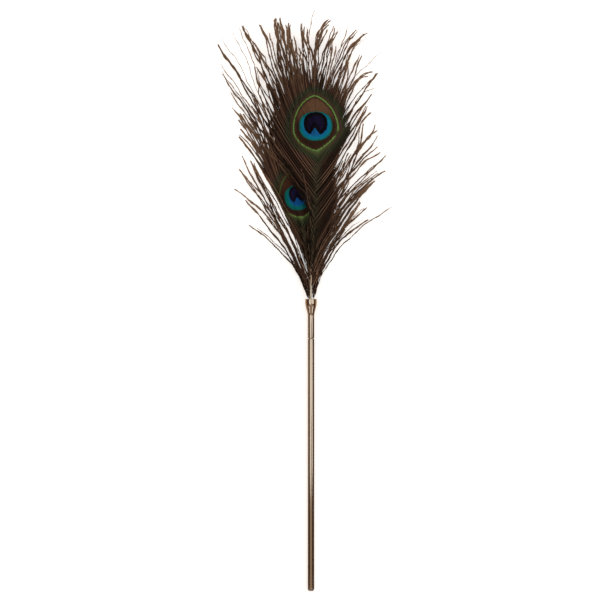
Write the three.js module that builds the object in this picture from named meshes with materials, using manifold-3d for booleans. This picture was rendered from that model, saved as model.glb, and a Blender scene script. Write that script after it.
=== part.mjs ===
// Peacock feather wand, lying on a table: two eyed tail feathers set in the flared ferrule of a slender metal rod.
// Millimetres, +Z up, +Y from the rod's end to the feather tips. While the pieces are made, the origin is under the
// centre of the ferrule's mouth, on the table; the last lines move it to the bottom centre of the whole wand.
import * as THREE from "three";
import { mergeVertices } from "three/addons/utils/BufferGeometryUtils.js";
import Module from "manifold-3d";

const wasm = await Module();
wasm.setup();

const { degToRad, lerp, smoothstep } = THREE.MathUtils;

// ---- driving dimensions -------------------------------------------------------------------------------------------

const GAP = 0.3; // clearance between pieces that touch
const TURNED_SIDES = 20; // facets round the rod and the ferrule

// Stations on the handle are distances from the ferrule's mouth towards the rod's end.
const ROD_RADIUS = 2.5;
const LIP_RADIUS = 4.45;
const LIP_LENGTH = 3.0; // the straight lip, before the flare narrows
const FLARE_END = 13.5; // where the flare has become the plain sleeve
const FLARE_STEPS = 6;
const SEAM = 31.1; // where the ferrule meets the rod
const HANDLE_LENGTH = 230.6; // mouth to the rod's end
const END_ROUNDING = 1.9; // length of the rounded rod end
const END_FACE_RADIUS = 1.6; // the small flat left on it
const EDGE_BREAK = 0.25; // chamfer on the turned edges

const SOCKET_RADIUS = 3.6;
const SOCKET_DEPTH = 7.6;
const SOCKET_FLOOR_RADIUS = 2.9;
const SPIGOT_RADIUS = 1.5; // the rod's reduced end, inside the ferrule
const SPIGOT_LENGTH = 8.6;
const GLUE_DEPTH = 1.5; // how far the glue lies below the mouth

const QUILL_RADIUS = 0.8;
const QUILL_DEPTH = 6.2; // how far the quills reach into the ferrule
const QUILL_HOLE_SIDES = 12;
const QUILL_APART = 1.2; // each quill's height above or below the ferrule's axis
const QUILL_ASIDE = 0.4; // each quill's place beside the middle of the pair
const QUILL_MIDDLE = -0.5; // the pair's middle, a little left of the ferrule's axis
const SHAFT_TIP_RADIUS = 0.35;
const SHAFT_SIDES = 8;
const SHAFT_STEPS = 13;

const LOCK_TIP_HALF_WIDTH = 0.35;
const LOCK_FULL_WIDTH_AT = 0.3; // share of a lock's length where it is widest
const LOCK_HALF_THICKNESS = 0.4;
const LOCK_STEPS = 4;
const EYE_THICKNESS = 0.9; // the closed web of barbs round the eye
const EYE_POINTS = 24;

// The wand rests on the ferrule's lip and on the rod's end, so the rod slopes down to its end.
const REST_TILT = Math.atan2(LIP_RADIUS - ROD_RADIUS, HANDLE_LENGTH - END_ROUNDING - LIP_LENGTH);
const MOUTH_HEIGHT = LIP_LENGTH * Math.sin(REST_TILT) + LIP_RADIUS * Math.cos(REST_TILT);

// ---- heights of the two vanes -------------------------------------------------------------------------------------

const BACK_QUILL_HEIGHT = MOUTH_HEIGHT - QUILL_APART;
const BACK_FLAT_HEIGHT = 1.0; // the back feather's shaft once it lies on the table
const BACK_LIES_FROM = 50;
const BACK_EDGE_HEIGHT = 0.45;
const BACK_SPREAD = 40; // distance from the middle where its barbs lie on the table
const FRONT_LIFT_AT_MOUTH = 2 * QUILL_APART;
const FRONT_LIFT_AT_EYE = 8.0;
const FRONT_LIFTED_AT = 110;
const FRONT_EDGE_LIFT = 1.4;
const FRONT_SPREAD = 62;

// Height of the back feather's middle surface over the table.
function backHeight(x, y) {
  const middle = lerp(BACK_QUILL_HEIGHT, BACK_FLAT_HEIGHT, smoothstep(y, 0, BACK_LIES_FROM));
  return lerp(middle, BACK_EDGE_HEIGHT, smoothstep(Math.abs(x), 0, BACK_SPREAD));
}

// The front feather lies on the back one and arches over it.
function frontHeight(x, y) {
  const middle = lerp(FRONT_LIFT_AT_MOUTH, FRONT_LIFT_AT_EYE, smoothstep(y, 0, FRONT_LIFTED_AT));
  return backHeight(x, y) + lerp(middle, FRONT_EDGE_LIFT, smoothstep(Math.abs(x), 0, FRONT_SPREAD));
}

// ---- the two feathers ---------------------------------------------------------------------------------------------
// A fan is a run of neighbouring locks on one side of the shaft, from the lowest up, each given as
// [root station, tip x, tip y, angle leaving the shaft, angle of the tip from +Y, rise of the tip]. `halfWidths` says
// how broad they are at the shaft and at their broadest.

const FRONT = {
  name: "feather_front",
  height: frontHeight,
  shaftEnd: 152,
  shaftX: (y) => QUILL_MIDDLE + QUILL_ASIDE + 4.9 * smoothstep(y, 0, 120) - 1.8 * smoothstep(y, 120, 155),
  eye: { x: 4.0, y: 133.5, lean: 2.4, halfWidth: 18, below: 19, above: 26, flat: false },
  fans: [
    {
      side: -1,
      halfWidths: [0.7, 1.1],
      locks: [
        [2, -51.0, 60.0, 16, 56, 0],
        [4, -60.7, 87.0, 16, 56, 1],
        [7, -52.0, 79.0, 16, 44, 0],
        [11, -57.0, 103.0, 16, 42, 0],
        [15, -55.0, 115.0, 16, 24, 1],
        [20, -48.0, 110.0, 17, 24, 0],
      ],
    },
    {
      side: -1,
      halfWidths: [2.2, 2.4],
      locks: [
        [63, -55.0, 138.0, 36, 40, 0],
        [69, -61.0, 150.0, 38, 36, 0],
        [77, -71.8, 180.5, 40, 32, 1],
        [87, -73.3, 201.0, 41, 38, 3],
        [94, -45.0, 184.0, 42, 26, 3],
        [100, -62.0, 211.0, 42, 32, 4],
        [106, -54.2, 216.0, 42, 28, 5],
        [112, -45.6, 204.2, 42, 32, 4],
        [117, -41.6, 219.0, 41, 20, 5],
        [122, -33.5, 212.0, 38, 12, 5],
        [127, -29.0, 222.5, 36, 12, 6],
        [131, -25.0, 222.0, 33, 10, 6],
        [135, -19.0, 218.0, 30, 6, 6],
        [140, -12.3, 200.0, 26, 22, 5],
        [144, -7.6, 216.5, 20, 0, 5],
        [149, -1.3, 214.0, 8, -8, 5],
      ],
    },
    {
      side: 1,
      halfWidths: [0.7, 1.1],
      locks: [
        [2, 64.5, 73.0, 16, 54, 1],
        [4, 47.0, 63.5, 16, 64, 0],
        [7, 45.1, 73.0, 17, 52, 1],
        [12, 41.2, 81.4, 18, 35, 0],
        [17, 50.6, 93.0, 20, 50, 2],
      ],
    },
    {
      side: 1,
      halfWidths: [2.2, 2.4],
      locks: [
        [24, 59.7, 102.2, 22, 62, 2],
        [33, 59.0, 113.2, 25, 45, 1],
        [42, 55.7, 116.4, 28, 54, 1],
        [50, 54.3, 121.9, 31, 40, 1],
        [58, 53.2, 130.4, 34, 34, 1],
        [66, 50.6, 137.6, 37, 25, 2],
        [74, 41.5, 141.0, 38, 14, 2],
        [82, 47.7, 147.9, 39, 50, 2],
        [90, 46.0, 155.0, 40, 30, 3],
        [97, 51.5, 166.0, 41, 42, 3],
        [104, 52.9, 179.1, 41, 38, 3],
        [110, 50.4, 178.8, 39, 95, 5],
        [115, 56.0, 192.0, 39, 58, 5],
        [120, 40.1, 194.8, 36, 22, 4],
        [125, 29.5, 193.5, 33, 8, 4],
        [129, 40.5, 206.3, 31, 45, 5],
        [132, 45.3, 210.8, 28, 65, 5],
        [135, 36.8, 212.4, 25, 42, 5],
        [139, 21.0, 211.0, 20, 38, 6],
        [143, 18.5, 215.0, 17, 10, 5],
        [147, 17.2, 219.5, 10, 50, 6],
        [150, 14.5, 221.0, 5, 48, 6],
        [151, 2.4, 225.6, 0, 30, 6],
      ],
    },
  ],
};

const BACK = {
  name: "feather_back",
  height: backHeight,
  shaftEnd: 104,
  shaftX: (y) => QUILL_MIDDLE - QUILL_ASIDE - 14.8 * Math.pow(Math.max(y, 0) / 104, 1.6),
  eye: { x: -10.2, y: 80.5, lean: 12, halfWidth: 15, below: 17, above: 21, flat: true },
  fans: [
    {
      side: -1,
      halfWidths: [1.4, 2.4],
      locks: [
        [4, -40.0, 66.0, 18, 46, 0],
        [9, -44.0, 84.0, 18, 40, 0],
        [14, -45.5, 108.0, 17, 26, 0],
        [28, -58.5, 131.0, 19, 50, 0],
        [34, -57.0, 137.0, 22, 42, 0],
        [40, -57.5, 143.0, 25, 38, 0],
        [48, -57.0, 149.0, 28, 36, 0],
        [57, -52.0, 155.0, 32, 31, 0],
        [66, -46.0, 163.0, 35, 27, 0],
        [75, -41.0, 168.0, 36, 24, 0],
        [84, -33.0, 175.0, 35, 18, 0],
        [92, -26.0, 180.0, 28, 14, 0],
        [99, -17.0, 185.0, 14, 6, 0],
      ],
    },
    {
      side: 1,
      halfWidths: [1.4, 2.4],
      locks: [
        [4, 33.0, 52.0, 18, 48, 0],
        [11, 38.0, 72.0, 19, 42, 0],
        [19, 40.0, 90.0, 22, 36, 0],
        [28, 38.0, 104.0, 25, 31, 0],
        [38, 34.0, 117.0, 29, 26, 0],
        [49, 29.0, 130.0, 33, 22, 0],
        [60, 21.0, 143.0, 35, 17, 0],
        [71, 13.0, 155.0, 36, 12, 0],
        [81, 3.0, 166.0, 34, 8, 0],
        [90, -5.0, 175.0, 28, 4, 0],
        [98, -13.0, 184.0, 14, 0, 0],
      ],
    },
  ],
};

// ---- helpers ------------------------------------------------------------------------------------------------------

// A closed geometry as a manifold-3d solid.
function solidOf(geometry) {
  const bare = geometry.clone();
  bare.deleteAttribute("normal");
  bare.deleteAttribute("uv");
  const merged = mergeVertices(bare, 1e-4);
  return new wasm.Manifold(
    new wasm.Mesh({
      numProp: 3,
      vertProperties: merged.attributes.position.array,
      triVerts: new Uint32Array(merged.index.array),
    }),
  );
}

// The triangles of a manifold-3d solid as a geometry.
function geometryOf(solid) {
  const mesh = solid.getMesh();
  const geometry = new THREE.BufferGeometry();
  geometry.setAttribute("position", new THREE.BufferAttribute(mesh.vertProperties, 3));
  geometry.setIndex(new THREE.BufferAttribute(mesh.triVerts, 1));
  geometry.computeVertexNormals();
  return geometry;
}

// A solid of revolution about Y. Its profile is a list of [radius, station], from the mouth's side to the rod's end.
function turned(profile) {
  const points = profile.map(([radius, station]) => new THREE.Vector2(radius, -station));
  return new THREE.LatheGeometry(points.reverse(), TURNED_SIDES);
}

// A straight extrusion of `section` laid along `place`, which maps a share of the length to its centre there. The
// section's x runs level, square to the path, and its y runs up; `size` scales both at each share.
function swept(section, steps, place, size) {
  const geometry = new THREE.ExtrudeGeometry(section, { depth: 1, steps, bevelEnabled: false });
  const position = geometry.getAttribute("position");
  const up = new THREE.Vector3(0, 0, 1);
  const step = 1e-3;
  for (let i = 0; i < position.count; i++) {
    const share = position.getZ(i);
    const centre = place(share);
    const along = place(Math.min(share + step, 1)).sub(place(Math.max(share - step, 0)));
    const across = new THREE.Vector3().crossVectors(up, along.setZ(0).normalize());
    const [width, thickness] = size(share);
    centre.addScaledVector(across, position.getX(i) * width);
    centre.addScaledVector(up, position.getY(i) * thickness);
    position.setXYZ(i, centre.x, centre.y, centre.z);
  }
  return geometry;
}

function polygon(sides) {
  const corner = (_, i) => {
    const angle = (2 * Math.PI * i) / sides;
    return new THREE.Vector2(Math.cos(angle), Math.sin(angle));
  };
  return new THREE.Shape(Array.from({ length: sides }, corner));
}

// ---- feather parts ------------------------------------------------------------------------------------------------

// The quill in the ferrule and the shaft it becomes, one tapering rod along the middle of the vane.
function shaft(feather) {
  const place = (share) => {
    const y = lerp(-QUILL_DEPTH, feather.shaftEnd, share);
    const x = feather.shaftX(Math.max(y, 0));
    return new THREE.Vector3(x, y, feather.height(x, Math.max(y, 0)));
  };
  const size = (share) => {
    const radius = lerp(QUILL_RADIUS, SHAFT_TIP_RADIUS, smoothstep(share, 0.2, 1));
    return [radius, radius];
  };
  return swept(polygon(SHAFT_SIDES), SHAFT_STEPS, place, size);
}

// One lock of barbs: a flat strand that leaves the shaft and bends to its tip.
function lock(feather, side, [atShaft, broadest], [root, tipX, tipY, leave, arrive, rise]) {
  const start = new THREE.Vector2(feather.shaftX(root), root);
  const tip = new THREE.Vector2(tipX, tipY);
  const reach = start.distanceTo(tip);
  const lean = Math.atan2(feather.shaftX(root + 1) - start.x, 1);
  const out = lean + side * degToRad(leave);
  const end = side * degToRad(arrive);
  const curve = new THREE.CubicBezierCurve(
    start,
    new THREE.Vector2(Math.sin(out), Math.cos(out)).multiplyScalar(0.38 * reach).add(start),
    new THREE.Vector2(Math.sin(end), Math.cos(end)).multiplyScalar(-0.35 * reach).add(tip),
    tip,
  );
  const place = (share) => {
    const { x, y } = curve.getPoint(share);
    return new THREE.Vector3(x, y, feather.height(x, y) + rise * share ** 3);
  };
  const size = (share) => {
    const broad = lerp(atShaft, broadest, smoothstep(share, 0, LOCK_FULL_WIDTH_AT));
    return [lerp(broad, LOCK_TIP_HALF_WIDTH, share ** 1.6), LOCK_HALF_THICKNESS];
  };
  return swept(polygon(4), LOCK_STEPS, place, size);
}

// The closed, egg-shaped web of barbs that carries the eye.
function eyeWeb(feather) {
  const { x, y, lean, halfWidth, below, above, flat } = feather.eye;
  const turn = degToRad(lean);
  const edge = (_, i) => {
    const angle = (2 * Math.PI * i) / EYE_POINTS;
    const across = halfWidth * Math.cos(angle);
    const along = (Math.sin(angle) < 0 ? below : above) * Math.sin(angle);
    return new THREE.Vector2(
      x + across * Math.cos(turn) - along * Math.sin(turn),
      y + across * Math.sin(turn) + along * Math.cos(turn),
    );
  };
  const outline = new THREE.Shape(Array.from({ length: EYE_POINTS }, edge));
  const web = new THREE.ExtrudeGeometry(outline, { depth: EYE_THICKNESS, bevelEnabled: false });
  const position = web.getAttribute("position");
  for (let i = 0; i < position.count; i++) {
    const height = feather.height(position.getX(i), position.getY(i)) - EYE_THICKNESS / 2;
    position.setZ(i, position.getZ(i) + (flat ? 0 : height));
  }
  return web;
}

function featherOf(feather, material) {
  const pieces = [shaft(feather), eyeWeb(feather)];
  for (const { side, halfWidths, locks } of feather.fans)
    for (const row of locks) pieces.push(lock(feather, side, halfWidths, row));
  const grown = pieces.map(solidOf).reduce((all, piece) => all.add(piece));
  // The largest shell is the outside. Pockets closed in between crossing locks are filled.
  const [outside] = grown.decompose().sort((a, b) => b.volume() - a.volume());
  const mesh = new THREE.Mesh(geometryOf(outside), material);
  mesh.name = feather.name;
  return mesh;
}

// ---- handle parts -------------------------------------------------------------------------------------------------

function ferruleOf(material) {
  const flare = Array.from({ length: FLARE_STEPS + 1 }, (_, i) => {
    const share = i / FLARE_STEPS;
    return [
      lerp(LIP_RADIUS, ROD_RADIUS, smoothstep(share, 0, 1)),
      lerp(LIP_LENGTH, FLARE_END, share),
    ];
  });
  const profile = [
    [0, SOCKET_DEPTH],
    [SOCKET_FLOOR_RADIUS, SOCKET_DEPTH],
    [SOCKET_RADIUS, LIP_LENGTH],
    [SOCKET_RADIUS, EDGE_BREAK],
    [SOCKET_RADIUS + EDGE_BREAK, 0],
    [LIP_RADIUS - EDGE_BREAK, 0],
    [LIP_RADIUS, EDGE_BREAK],
    ...flare,
    [ROD_RADIUS, SEAM - EDGE_BREAK],
    [ROD_RADIUS - EDGE_BREAK, SEAM],
    [SPIGOT_RADIUS + GAP, SEAM],
    [SPIGOT_RADIUS + GAP, SEAM - SPIGOT_LENGTH],
    [0, SEAM - SPIGOT_LENGTH],
  ];
  const mesh = new THREE.Mesh(turned(profile), material);
  mesh.name = "ferrule";
  return mesh;
}

function rodOf(material) {
  const top = SEAM + GAP;
  const profile = [
    [0, top - SPIGOT_LENGTH],
    [SPIGOT_RADIUS, top - SPIGOT_LENGTH],
    [SPIGOT_RADIUS, top],
    [ROD_RADIUS - EDGE_BREAK, top],
    [ROD_RADIUS, top + EDGE_BREAK],
    [ROD_RADIUS, HANDLE_LENGTH - END_ROUNDING],
    [lerp(ROD_RADIUS, END_FACE_RADIUS, 0.3), HANDLE_LENGTH - 0.4 * END_ROUNDING],
    [END_FACE_RADIUS, HANDLE_LENGTH],
    [0, HANDLE_LENGTH],
  ];
  const mesh = new THREE.Mesh(turned(profile), material);
  mesh.name = "handle_rod";
  return mesh;
}

// The glue that fills the socket round the two quills.
function glueOf(material) {
  const body = solidOf(
    turned([
      [0, GLUE_DEPTH],
      [SOCKET_RADIUS - GAP, GLUE_DEPTH],
      [SOCKET_RADIUS - GAP, LIP_LENGTH],
      [SOCKET_FLOOR_RADIUS - GAP, SOCKET_DEPTH - GAP],
      [0, SOCKET_DEPTH - GAP],
    ]),
  );
  const depth = QUILL_DEPTH + GAP;
  const holes = [-1, 1].map((side) =>
    solidOf(
      new THREE.CylinderGeometry(QUILL_RADIUS + GAP, QUILL_RADIUS + GAP, depth, QUILL_HOLE_SIDES).translate(
        QUILL_MIDDLE + side * QUILL_ASIDE,
        -depth / 2,
        side * QUILL_APART,
      ),
    ),
  );
  const mesh = new THREE.Mesh(geometryOf(holes.reduce((left, hole) => left.subtract(hole), body)), material);
  mesh.name = "glue_plug";
  return mesh;
}

// ---- the wand -----------------------------------------------------------------------------------------------------

const bronze = new THREE.MeshStandardMaterial({ color: 0xa8906e, roughness: 0.18, metalness: 1 });
const glue = new THREE.MeshStandardMaterial({ color: 0x2a211a, roughness: 0.5, metalness: 0 });
const barbs = new THREE.MeshStandardMaterial({ color: 0x3d2c22, roughness: 0.6, metalness: 0 });

const handle = new THREE.Group();
handle.add(rodOf(bronze), ferruleOf(bronze), glueOf(glue));
handle.position.set(0, 0, MOUTH_HEIGHT);
handle.rotation.x = REST_TILT;

const wand = new THREE.Group();
wand.add(handle, featherOf(BACK, barbs), featherOf(FRONT, barbs));

const bounds = new THREE.Box3().setFromObject(wand, true);
const middle = bounds.getCenter(new THREE.Vector3());
wand.position.set(-middle.x, -middle.y, -bounds.min.z);

const part = new THREE.Group();
part.add(wand);

export default part;
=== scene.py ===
# %% [markdown]
# # A peacock feather wand
# Two trimmed tail feathers of a peacock, one lying over the other, are held in the flared ferrule of a
# slender polished rod. The wand lies on a table and is seen from above.
#
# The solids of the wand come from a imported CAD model, which fixes every size and place. This lesson gives
# them their looks: turned and polished metal, a plug of glue, and two feathers made of several hundred
# barbs. Sizes are written in millimetres and turned into metres when a mesh is made.

# %% Load the frame
import math

import bpy
import numpy as np
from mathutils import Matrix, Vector


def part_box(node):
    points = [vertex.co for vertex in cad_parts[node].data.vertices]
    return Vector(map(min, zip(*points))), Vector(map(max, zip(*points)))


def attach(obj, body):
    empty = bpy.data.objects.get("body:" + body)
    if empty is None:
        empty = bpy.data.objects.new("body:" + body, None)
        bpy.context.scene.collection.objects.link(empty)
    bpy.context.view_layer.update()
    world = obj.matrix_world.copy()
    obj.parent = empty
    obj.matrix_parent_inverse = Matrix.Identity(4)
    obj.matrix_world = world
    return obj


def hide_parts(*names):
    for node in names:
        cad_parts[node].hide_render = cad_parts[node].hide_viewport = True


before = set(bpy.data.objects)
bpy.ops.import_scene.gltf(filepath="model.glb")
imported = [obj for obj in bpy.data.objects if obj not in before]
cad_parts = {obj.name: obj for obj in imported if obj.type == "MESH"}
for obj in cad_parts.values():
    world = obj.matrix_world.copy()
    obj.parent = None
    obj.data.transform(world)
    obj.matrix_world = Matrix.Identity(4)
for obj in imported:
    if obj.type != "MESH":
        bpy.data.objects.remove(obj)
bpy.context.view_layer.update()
MM = 0.001
print("nodes:", sorted(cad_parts))

# %% [markdown]
# ## Where the wand is
# Everything on the wand is measured from the middle of the ferrule's mouth: the feathers point along +Y
# from there, and the rod runs the other way. The mouth's place is read from the frame, so the looks stay
# on the solids. The ferrule's lip is wider than the rod's end, so the rod slopes down a little towards its
# end.

# %% The ferrule's mouth and the rod's slope
LIP_RADIUS = 4.45
ROD_RADIUS = 2.5
LIP_LENGTH = 3.0
HANDLE_LENGTH = 230.6
END_ROUNDING = 1.9

rest_tilt = math.atan2(LIP_RADIUS - ROD_RADIUS, HANDLE_LENGTH - END_ROUNDING - LIP_LENGTH)
mouth_height = LIP_LENGTH * math.sin(rest_tilt) + LIP_RADIUS * math.cos(rest_tilt)
ferrule_low, ferrule_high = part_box("ferrule")
mouth_x = (ferrule_low.x + ferrule_high.x) / 2 / MM
mouth_y = ferrule_high.y / MM - LIP_RADIUS * math.sin(rest_tilt)
print("mouth at", round(mouth_x, 3), round(mouth_y, 3), round(mouth_height, 3), "mm")


def smoothstep(value, low, high):
    share = np.clip((np.asarray(value, float) - low) / (high - low), 0, 1)
    return share * share * (3 - 2 * share)


def lerp(a, b, share):
    return a + (b - a) * share


# %% [markdown]
# ## Camera, table and light
# The wand is slim and long, so a long lens looks straight down on it, square to the table, and bends
# nothing. Polished metal shows what it reflects. Soft boxes hang in a plane over the wand, to the left and
# right of the lens, and weaker panels fill the gap between them: together they give the rod its pale
# middle stripe with a fainter line in it. A dim, warm room leaves the dark stripe on each side. Towards
# the rod's end the panels are weaker and warmer, so the stripe fades there, and at its foot they are
# bright again.
#
# The table is a white sweep, lit evenly, as the lens sees it. Every other ray sees painted tints instead,
# and the rod's flanks mirror them as a painted reflection: warm on the left, darker towards the rod's end,
# and a painted shade of dark brown on the right, standing in for a studio's shaded side in the metal.

# %% Camera
VIEW_WIDTH = 474.0
VIEW_FROM_MOUTH = (-8.69, -0.79)
LENS = 120.0
SENSOR = 36.0

camera_data = bpy.data.cameras.new("camera")
camera_data.lens = LENS
camera_data.sensor_width = SENSOR
camera = bpy.data.objects.new("camera", camera_data)
bpy.context.scene.collection.objects.link(camera)
camera_distance = VIEW_WIDTH * LENS / SENSOR
camera.location = Vector(
    (mouth_x + VIEW_FROM_MOUTH[0], mouth_y + VIEW_FROM_MOUTH[1], mouth_height + camera_distance)
) * MM
bpy.context.scene.camera = camera
bpy.context.scene.view_settings.view_transform = "Standard"
print("camera height", round(camera.location.z, 3), "m")

# %% Helpers for finishes and pieces
RGBA = {"data_type": "RGBA"}
RGBA_MULTIPLY = {"data_type": "RGBA", "blend_type": "MULTIPLY"}


def fill(node, **inputs):
    """Fill a node's inputs with numbers, colours, sockets, or nodes whose first output is meant."""
    for name, value in inputs.items():
        socket = node.inputs[int(name[1:])] if name[0] == "_" else node.inputs[name.replace("_", " ")]
        if isinstance(value, bpy.types.Node):
            value = next(output for output in value.outputs if output.enabled)
        if isinstance(value, bpy.types.NodeSocket):
            node.id_data.links.new(value, socket)
        else:
            socket.default_value = value
    return node


def add(tree, kind, settings=None, **inputs):
    """Add a node to a tree. `settings` are the node's own properties, and everything else is an input."""
    node = tree.nodes.new(kind)
    for name, value in (settings or {}).items():
        setattr(node, name, value)
    return fill(node, **inputs)


def new_finish(name):
    material = bpy.data.materials.new(name)
    material.use_nodes = True
    return material, material.node_tree


def dress(piece, material, node):
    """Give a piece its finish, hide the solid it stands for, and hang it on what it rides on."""
    piece.data.materials.append(material)
    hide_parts(node)
    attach(piece, "root")


def linear(hex_colour):
    """A colour written as sRGB hex, as linear red, green, blue and alpha."""
    channels = [int(hex_colour[i : i + 2], 16) / 255 for i in (1, 3, 5)]
    return [c / 12.92 if c <= 0.04045 else ((c + 0.055) / 1.055) ** 2.4 for c in channels] + [1.0]


# %% Table
TABLE_SIZE = 3.0
SHADE_EITHER_SIDE = 8
SHADE_BELOW_MOUTH = (10, 18)
DIM_BELOW_MOUTH = (60, 200)

bpy.ops.mesh.primitive_plane_add(size=TABLE_SIZE, location=(0, 0, 0))
table = bpy.context.object
table.name = "table"
white_sweep_with_painted_reflection, tree = new_finish("white_sweep_with_painted_reflection")
tree.nodes.clear()
to_lens = add(tree, "ShaderNodeLightPath")
lit_white = add(tree, "ShaderNodeEmission", Color=linear("#FFFFFF"), Strength=0.5)
white_paper = add(tree, "ShaderNodeBsdfDiffuse", Color=linear("#F4F3F1"))
seen_table = add(tree, "ShaderNodeAddShader", _0=lit_white, _1=white_paper)
table_place = add(tree, "ShaderNodeTexCoord")
table_axes = add(tree, "ShaderNodeSeparateXYZ", Vector=table_place.outputs["Object"])
to_right = add(tree, "ShaderNodeMapRange", Value=table_axes.outputs["X"],
               From_Min=(mouth_x - SHADE_EITHER_SIDE) * MM, From_Max=(mouth_x + SHADE_EITHER_SIDE) * MM)
below_mouth, towards_end = [
    add(tree, "ShaderNodeMapRange", Value=table_axes.outputs["Y"],
        From_Min=(mouth_y - near) * MM, From_Max=(mouth_y - far) * MM)
    for near, far in (SHADE_BELOW_MOUTH, DIM_BELOW_MOUTH)
]
# Painted reflection: tints that only the rod's mirror sees, with painted shade on the right and towards the
# rod's end.
dark_side = add(tree, "ShaderNodeMath", {"operation": "MULTIPLY"}, _0=to_right, _1=below_mouth)
left_tint = add(tree, "ShaderNodeMix", RGBA, Factor=towards_end, _6=linear("#EBCBA1"), _7=linear("#9C8163"))
painted_reflection_tint = add(tree, "ShaderNodeMix", RGBA, Factor=dark_side, _6=left_tint, _7=linear("#5C4333"))
painted_reflection_table = add(tree, "ShaderNodeBsdfDiffuse", Color=painted_reflection_tint)
either = add(tree, "ShaderNodeMixShader", _0=to_lens.outputs["Is Camera Ray"], _1=painted_reflection_table, _2=seen_table)
add(tree, "ShaderNodeOutputMaterial", Surface=either)
table.data.materials.append(white_sweep_with_painted_reflection)

# %% Soft boxes and room
# [name, left, right, lower end, upper end, brightness], in metres on a plane over the wand.
BOX_HEIGHT = 1.0
STUDIO_WHITE = "#FFFDF9"
WARM_WHITE = "#FFE3C4"
BOXES = [
    ["left_box", -0.85, -0.16, -0.09, 0.95, 1.97],
    ["left_mid", -0.85, 0.02, -0.21, -0.09, 1.8],
    ["left_low", -0.85, 0.02, -0.25, -0.21, 1.45],
    ["right_box", 0.16, 1.60, -0.09, 0.95, 1.75],
    ["right_low", 0.62, 1.60, -0.25, -0.09, 2.1],
    ["gap_panel", -0.16, 0.16, -0.09, 0.95, 1.1],
    ["gap_low", 0.02, 0.62, -0.25, -0.09, 0.55],
    ["low_panel", -0.62, 0.62, -0.58, -0.25, 0.55],
    ["left_foot", -1.60, -0.55, -1.00, -0.58, 1.4],
    ["right_foot", 0.55, 1.60, -1.00, -0.58, 1.7],
    ["foot_gap", -0.55, 0.55, -1.00, -0.58, 0.45],
]
WARM_BOXES = ("low_panel", "foot_gap")
ROOM = "#5F4438"
ROOM_SEEN = "#F2F1EF"

for name, left, right, low, high, brightness in BOXES:
    box_data = bpy.data.lights.new(name, "AREA")
    box_data.shape = "RECTANGLE"
    box_data.size = right - left
    box_data.size_y = high - low
    box_data.energy = brightness * math.pi * box_data.size * box_data.size_y
    box_data.color = linear(WARM_WHITE if name in WARM_BOXES else STUDIO_WHITE)[:3]
    box = bpy.data.objects.new(name, box_data)
    box.location = (mouth_x * MM + (left + right) / 2, (low + high) / 2, BOX_HEIGHT)
    bpy.context.scene.collection.objects.link(box)
    print(name, round(box_data.energy, 2), "W")

room = bpy.data.worlds.new("room")
room.use_nodes = True
bpy.context.scene.world = room
tree = room.node_tree
tree.nodes.clear()
light_path = add(tree, "ShaderNodeLightPath")
dim = add(tree, "ShaderNodeBackground", Color=linear(ROOM), Strength=1.0)
seen = add(tree, "ShaderNodeBackground", Color=linear(ROOM_SEEN), Strength=1.0)
either = add(tree, "ShaderNodeMixShader", _0=light_path.outputs["Is Camera Ray"], _1=dim, _2=seen)
add(tree, "ShaderNodeOutputWorld", Surface=either)

# %% [markdown]
# ## The metal's finish
# The handle is brass under a thin bronze-coloured plating, drawn, turned and then polished. A plating like
# this is a metal, so its colour tints everything that it mirrors: metallic is 1, and the roughness is low.
# Drawing and polishing leave hair lines along the rod. Real ones are a few hundredths of a millimetre
# apart; they are drawn 0.3 mm apart and very shallow here, so that they still show as a faint streak in
# the reflection.

# %% Polished bronze plating
HAIR_LINE = 0.3
HAIR_LINE_LENGTH = 40.0
CLOUDS_PER_METRE = 60.0
HAIR_LINE_DEPTH = 0.02


def polished_bronze():
    material, tree = new_finish("polished_bronze_plating")
    place = add(tree, "ShaderNodeTexCoord")
    lines_per_metre = [1 / (size * MM) for size in (HAIR_LINE, HAIR_LINE_LENGTH, HAIR_LINE)]
    stretch = add(tree, "ShaderNodeMapping", Vector=place.outputs["Object"], Scale=lines_per_metre)
    hair = add(tree, "ShaderNodeTexNoise", Vector=stretch, Scale=1.0, Detail=3.0, Roughness=0.6)
    cloud = add(tree, "ShaderNodeTexNoise", Vector=place.outputs["Object"],
                Scale=CLOUDS_PER_METRE, Detail=2.0)
    tint = add(tree, "ShaderNodeMix", RGBA, Factor=cloud.outputs["Fac"],
               _6=linear("#9D9284"), _7=linear("#A79C8D"))
    rough = add(tree, "ShaderNodeMapRange", Value=hair.outputs["Fac"], To_Min=0.06, To_Max=0.15)
    bump = add(tree, "ShaderNodeBump", Height=hair.outputs["Fac"],
               Strength=0.12, Distance=HAIR_LINE_DEPTH * MM)
    # Where the surface dips at the seam, the plating's colour is darker.
    groove = add(tree, "ShaderNodeAttribute", {"attribute_name": "groove"})
    darker_in_seam = add(tree, "ShaderNodeMix", RGBA, Factor=groove.outputs["Fac"],
                    _6=tint, _7=linear("#86735F"))
    fill(tree.nodes["Principled BSDF"], Metallic=1.0, Base_Color=darker_in_seam, Roughness=rough, Normal=bump)
    return material


bronze = polished_bronze()
print("finish:", bronze.name)

# %% [markdown]
# ## Turned pieces
# The rod, the ferrule and the glue in it are round, so each is made as a lathe makes it: one outline, spun
# round the axis. The outline is drawn point by point with extrude, starting from a plane merged to a
# single point. The two ends on the axis close by merging doubles, and the normals are turned outwards
# after that. Every edge of the outline is a small arc, because a sharp edge never catches the light as a
# turned one does. An attribute marks where the surface dips at the seam, and the plating is given a
# darker colour there.

# %% A lathe: draw the outline, spin it, lay it along the wand
TURNED_STEPS = 96
MERGE = 1e-6
SEAM = 31.1
GROOVE_DEPTH = 0.12


def rounded(centre_radius, centre_station, radius, start, end, steps=6):
    """Points of an arc, with angles in degrees: 0 points outwards and 90 towards the rod's end."""
    angles = np.radians(np.linspace(start, end, steps + 1))
    return [(centre_radius + radius * math.cos(a), centre_station + radius * math.sin(a)) for a in angles]


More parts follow.
